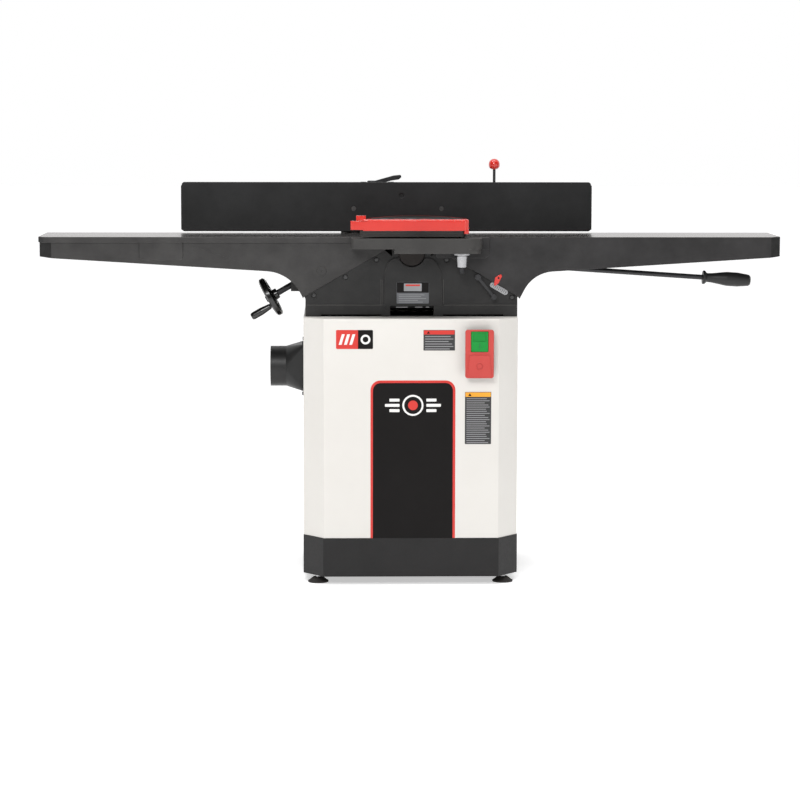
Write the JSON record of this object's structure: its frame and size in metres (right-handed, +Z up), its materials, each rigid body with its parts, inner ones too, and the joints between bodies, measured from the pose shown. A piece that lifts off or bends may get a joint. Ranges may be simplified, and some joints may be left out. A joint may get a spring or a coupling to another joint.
{
  "type": "jointer",
  "caption": "Closed-stand woodworking jointer with long tables on inclined ways, tilting fence, swinging cutter guard, crank and lever height adjustment and dust outlet.",
  "frame": {"origin": "on the floor under the middle of the tables' length, level with the tables' rear edges, which is the middle of the machine's depth", "axes": "+X along the tables towards the infeed end, +Y away from the operator, +Z up"},
  "size_m": [1.841, 0.652, 1.0466],
  "materials": {
    "cream_paint": "smooth powder coat",
    "black_paint": "satin powder coat",
    "casting": "painted rough casting",
    "ground_iron": "ground and polished",
    "steel": "turned",
    "dark_steel": "black oxide",
    "bright": "plated",
    "red_plastic": "glossy",
    "switch_red": "satin",
    "green_plastic": "satin",
    "black_plastic": "moulded",
    "black_rubber": "matt",
    "aluminium": "cast",
    "label_plate": "printed plate",
    "bearing_steel": "oiled"
  },
  "bodies": {
    "stand": {"cabinet": "cream_paint", "cabinet_base": "black_paint", "levelling_feet": "black_rubber", "foot_studs": "steel", "foot_nuts": "steel", "access_panel": "cream_paint", "stand_screws": "dark_steel", "dust_port": "black_plastic", "chip_chute": "black_paint", "motor_body": "black_paint", "motor_plate": "dark_steel", "motor_rails": "dark_steel", "drive_belt": "black_rubber", "belt_guard": "black_paint", "bed": "casting", "gib_screws": "dark_steel", "way_gibs": "steel", "bearing_housings": "bearing_steel", "cutterhead_bearings": "steel", "hex_bolts": "dark_steel", "fence_support": "casting", "depth_scale": "bright", "nameplate": "label_plate", "switch_box": "black_plastic", "cord_gland": "black_plastic"},
    "outfeed": {"outfeed_table": "casting"},
    "handwheel": {"adjusting_screw": "dark_steel", "handwheel": "black_plastic"},
    "crank_handle": {"crank_handle": "black_plastic"},
    "infeed": {"infeed_table": "casting", "rabbet_arm": "casting", "arm_bolts": "dark_steel", "guard_spring_barrel": "bright", "depth_pointer": "red_plastic", "lever_shaft": "steel"},
    "infeed_lever": {"lever_hub": "dark_steel", "lever_rod": "dark_steel", "lever_grip": "black_plastic"},
    "infeed_lock": {"infeed_lock_handle": "dark_steel"},
    "cutterhead": {"cutterhead_body": "steel", "cutter_knives": "bright", "knife_wedges": "steel", "cutterhead_pulley": "aluminium"},
    "motor_rotor": {"motor_rotor": "steel", "motor_pulley": "aluminium"},
    "guard_post": {"guard_post": "dark_steel"},
    "guard": {"guard_shell": "red_plastic", "guard_skirt": "black_rubber", "guard_screws": "steel"},
    "fence_carriage": {"fence_carriage": "casting", "carriage_bolts": "dark_steel", "fence_hinge_pins": "steel"},
    "carriage_lock": {"carriage_lock_lever": "dark_steel"},
    "fence": {"fence_plate": "casting", "fence_face_screws": "dark_steel", "tilt_rod": "dark_steel", "tilt_knob": "red_plastic"},
    "start_button": {"start_button": "green_plastic"},
    "stop_paddle": {"stop_paddle": "switch_red"}
  },
  "joints": [
    {"name": "outfeed_slide", "type": "slide", "parent": "stand", "child": "outfeed", "axis": [-0.866, 0, -0.5], "range_m": [0, 0.012]},
    {"name": "handwheel_turn", "type": "hinge", "parent": "outfeed", "child": "handwheel", "pos_m": [-0.35, -0.1145, 0.70169], "axis": [-0.866, 0, -0.5], "range_deg": [0, 1080]},
    {"name": "crank_handle_spin", "type": "hinge", "parent": "handwheel", "child": "crank_handle", "pos_m": [-0.341, -0.148, 0.6861], "axis": [-0.866, 0, -0.5], "continuous": true},
    {"name": "infeed_slide", "type": "slide", "parent": "stand", "child": "infeed", "axis": [0.866, 0, -0.5], "range_m": [0, 0.0254]},
    {"name": "infeed_lever_turn", "type": "hinge", "parent": "infeed", "child": "infeed_lever", "pos_m": [0.305, -0.169, 0.784], "axis": [0, 1, 0], "range_deg": [0, 31]},
    {"name": "infeed_lock_turn", "type": "hinge", "parent": "stand", "child": "infeed_lock", "pos_m": [0.166, -0.2315, 0.7595], "axis": [0, -1, 0], "range_deg": [-60, 50]},
    {"name": "cutterhead_spin", "type": "hinge", "parent": "stand", "child": "cutterhead", "pos_m": [0.002, -0.1, 0.8179], "axis": [0, 1, 0], "continuous": true},
    {"name": "motor_spin", "type": "hinge", "parent": "stand", "child": "motor_rotor", "pos_m": [0.002, -0.05, 0.3], "axis": [0, 1, 0], "continuous": true},
    {"name": "fence_slide", "type": "slide", "parent": "stand", "child": "fence_carriage", "axis": [0, -1, 0], "range_m": [0, 0.15]},
    {"name": "carriage_lock_turn", "type": "hinge", "parent": "fence_carriage", "child": "carriage_lock", "pos_m": [-0.092, 0.12, 0.965], "axis": [0, 0, 1], "range_deg": [0, 90]},
    {"name": "fence_tilt", "type": "hinge", "parent": "fence_carriage", "child": "fence", "pos_m": [-0.028, -0.014, 0.8744], "axis": [1, 0, 0], "range_deg": [-45, 45]},
    {"name": "guard_push", "type": "hinge", "parent": "infeed", "child": "guard_post", "pos_m": [0.124, -0.27, 0.83], "axis": [0, 0, 1], "range_deg": [0, 61]},
    {"name": "guard_swing", "type": "hinge", "parent": "guard_post", "child": "guard", "pos_m": [0.124, -0.27, 0.88], "axis": [0, 0, 1], "range_deg": [0, 75], "stiffness_Nm_per_rad": 0.4, "springref_deg": -17.19},
    {"name": "start_press", "type": "slide", "parent": "stand", "child": "start_button", "axis": [0, 1, 0], "range_m": [0, 0.0028], "stiffness_N_per_m": 600},
    {"name": "stop_press", "type": "hinge", "parent": "stand", "child": "stop_paddle", "pos_m": [0.1665, -0.314, 0.6345], "axis": [1, 0, 0], "range_deg": [0, 2], "stiffness_Nm_per_rad": 4}
  ],
  "couplings": [
    {"joint": "handwheel_turn", "follows": "outfeed_slide", "rad_per_m": 1570.8},
    {"joint": "infeed_lever_turn", "follows": "infeed_slide", "rad_per_m": 21},
    {"joint": "motor_spin", "follows": "cutterhead_spin", "ratio": 0.6278},
    {"joint": "guard_push", "follows": "fence_slide", "rad_per_m": 7}
  ]
}
